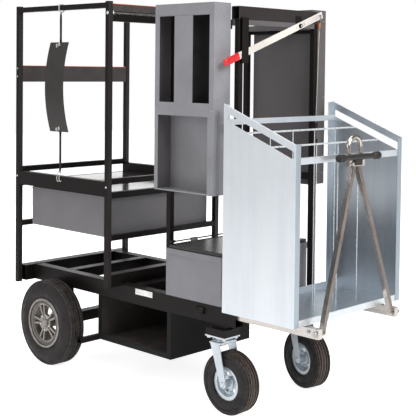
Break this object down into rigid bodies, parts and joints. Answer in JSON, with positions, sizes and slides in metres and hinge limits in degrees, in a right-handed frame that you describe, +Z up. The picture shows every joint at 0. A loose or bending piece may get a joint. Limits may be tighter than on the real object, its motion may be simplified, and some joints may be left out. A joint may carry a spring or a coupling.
{
  "type": "grip equipment cart",
  "caption": "Four-wheeled equipment cart: tube frame, rear shelf with sliding bin, side lockers, lidded deck box, sheet-metal flag box, folding tow handle, parking brake.",
  "frame": {"origin": "on the floor under the centre of the cart's bounding box", "axes": "+X forwards to the swivel casters and tow handle, +Y to the side with the brake cable, +Z up"},
  "size_m": [1.846, 0.822, 1.7383],
  "materials": {
    "black_frame": "semi-gloss powder coat",
    "black_sheet": "satin powder coat",
    "shelf_dark": "gloss, lightly scratched",
    "bay_gray": "satin powder coat",
    "locker_gray": "semi-gloss enamel",
    "bin_gray": "semi-gloss enamel",
    "deck_gray": "semi-gloss enamel",
    "dark_lining": "matt",
    "cap_black": "matt moulded",
    "board_black": "satin phenolic board",
    "edge_orange": "satin edging strip",
    "mat_rubber": "wet-looking ribbed rubber",
    "galvanised": "bright spangled zinc",
    "zinc_bright": "bright zinc plate",
    "rim_silver": "silver enamel",
    "tyre_black": "worn rubber",
    "pin_steel": "bright",
    "lever_cream": "cream enamel",
    "arm_cream": "cream enamel",
    "grip_red": "dipped vinyl",
    "handle_nickel": "nickel plate",
    "grip_black": "moulded rubber",
    "plate_black": "satin sheet plastic",
    "cord_black": "braided elastic",
    "wire_steel": "bare wire",
    "casing_black": "smooth sleeve",
    "fittings": "satin"
  },
  "bodies": {
    "frame": {"side_rails": "black_frame", "rear_outrigger": "black_frame", "saddle_beam": "black_frame", "deck_cross_members": "black_frame", "tall_posts": "black_frame", "post_caps": "cap_black", "top_side_rails": "black_frame", "header_rail": "black_frame", "header_rod": "pin_steel", "clamp_boards": "board_black", "board_edge_strips": "edge_orange", "shelf_fascias": "black_frame", "bay_cross_rails": "black_frame", "shelf_panel": "shelf_dark", "bin_slides": "black_frame", "flex_plate": "plate_black", "bungee_cord": "cord_black", "front_bay_posts": "black_frame", "bay_top_rails": "bay_gray", "front_beam": "black_frame", "locker_hangers": "black_frame", "near_locker": "locker_gray", "far_locker": "locker_gray", "locker_liners": "dark_lining", "deck_box": "deck_gray", "lid_hinge": "pin_steel", "under_box": "black_sheet", "axle_beam": "black_frame", "axle_hangers": "black_frame", "stub_axles": "pin_steel", "caster_mounts": "zinc_bright", "lever_bracket": "black_frame", "cable_casing": "casing_black", "flag_panels": "galvanised", "flag_rails": "galvanised", "flag_dividers": "galvanised", "tow_arms": "arm_cream", "frame_fittings": "fittings"},
    "bin": {"storage_bin": "bin_gray"},
    "lid": {"deck_lid": "deck_gray", "lid_mat": "mat_rubber"},
    "rear_wheel_near": {"rear_rim_near": "rim_silver", "rear_spider_near": "rim_silver", "rear_tyre_near": "tyre_black"},
    "rear_wheel_far": {"rear_rim_far": "rim_silver", "rear_spider_far": "rim_silver", "rear_tyre_far": "tyre_black"},
    "fork_near": {"caster_fork_near": "zinc_bright"},
    "fork_far": {"caster_fork_far": "zinc_bright"},
    "caster_near": {"caster_rim_near": "zinc_bright", "caster_tyre_near": "tyre_black"},
    "caster_far": {"caster_rim_far": "zinc_bright", "caster_tyre_far": "tyre_black"},
    "handle": {"tow_handle": "handle_nickel", "tow_grip": "grip_black"},
    "lever": {"brake_lever": "lever_cream", "lever_grip": "grip_red"},
    "cable": {"brake_cable": "wire_steel"},
    "brake": {"brake_bar": "black_frame", "brake_pads": "grip_black"}
  },
  "joints": [
    {"name": "bin_slide", "type": "slide", "parent": "frame", "child": "bin", "axis": [0, -1, 0], "range_m": [0, 0.4]},
    {"name": "lid_hinge", "type": "hinge", "parent": "frame", "child": "lid", "pos_m": [0.095, 0, 0.672], "axis": [0, -1, 0], "range_deg": [0, 42]},
    {"name": "rear_wheel_near_spin", "type": "hinge", "parent": "frame", "child": "rear_wheel_near", "pos_m": [-0.636, -0.357, 0.203], "axis": [0, 1, 0], "continuous": true},
    {"name": "rear_wheel_far_spin", "type": "hinge", "parent": "frame", "child": "rear_wheel_far", "pos_m": [-0.636, 0.357, 0.203], "axis": [0, 1, 0], "continuous": true},
    {"name": "caster_near_swivel", "type": "hinge", "parent": "frame", "child": "fork_near", "pos_m": [0.408, -0.26, 0.296], "axis": [0, 0, 1], "continuous": true},
    {"name": "caster_far_swivel", "type": "hinge", "parent": "frame", "child": "fork_far", "pos_m": [0.408, 0.26, 0.296], "axis": [0, 0, 1], "continuous": true},
    {"name": "caster_near_spin", "type": "hinge", "parent": "fork_near", "child": "caster_near", "pos_m": [0.46, -0.26, 0.13], "axis": [0, 1, 0], "continuous": true},
    {"name": "caster_far_spin", "type": "hinge", "parent": "fork_far", "child": "caster_far", "pos_m": [0.45867, 0.2483, 0.13], "axis": [0.225, 0.9744, 0], "continuous": true},
    {"name": "tow_handle_pivot", "type": "hinge", "parent": "frame", "child": "handle", "pos_m": [0.911, 0, 0.419], "axis": [0, 1, 0], "range_deg": [0, 100]},
    {"name": "brake_lever_pivot", "type": "hinge", "parent": "frame", "child": "lever", "pos_m": [0.491, 0.124, 1.627], "axis": [-1, 0, 0], "range_deg": [0, 17]},
    {"name": "brake_cable_eye", "type": "hinge", "parent": "lever", "child": "cable", "pos_m": [0.491, 0.26737, 1.67749], "axis": [1, 0, 0], "range_deg": [0, 15.7]},
    {"name": "brake_bar_pivot", "type": "hinge", "parent": "frame", "child": "brake", "pos_m": [-0.408, 0, 0.33], "axis": [0, -1, 0], "range_deg": [0, 4]}
  ],
  "couplings": [
    {"joint": "brake_cable_eye", "follows": "brake_lever_pivot", "ratio": 0.92},
    {"joint": "brake_bar_pivot", "follows": "brake_lever_pivot", "ratio": 0.235}
  ]
}
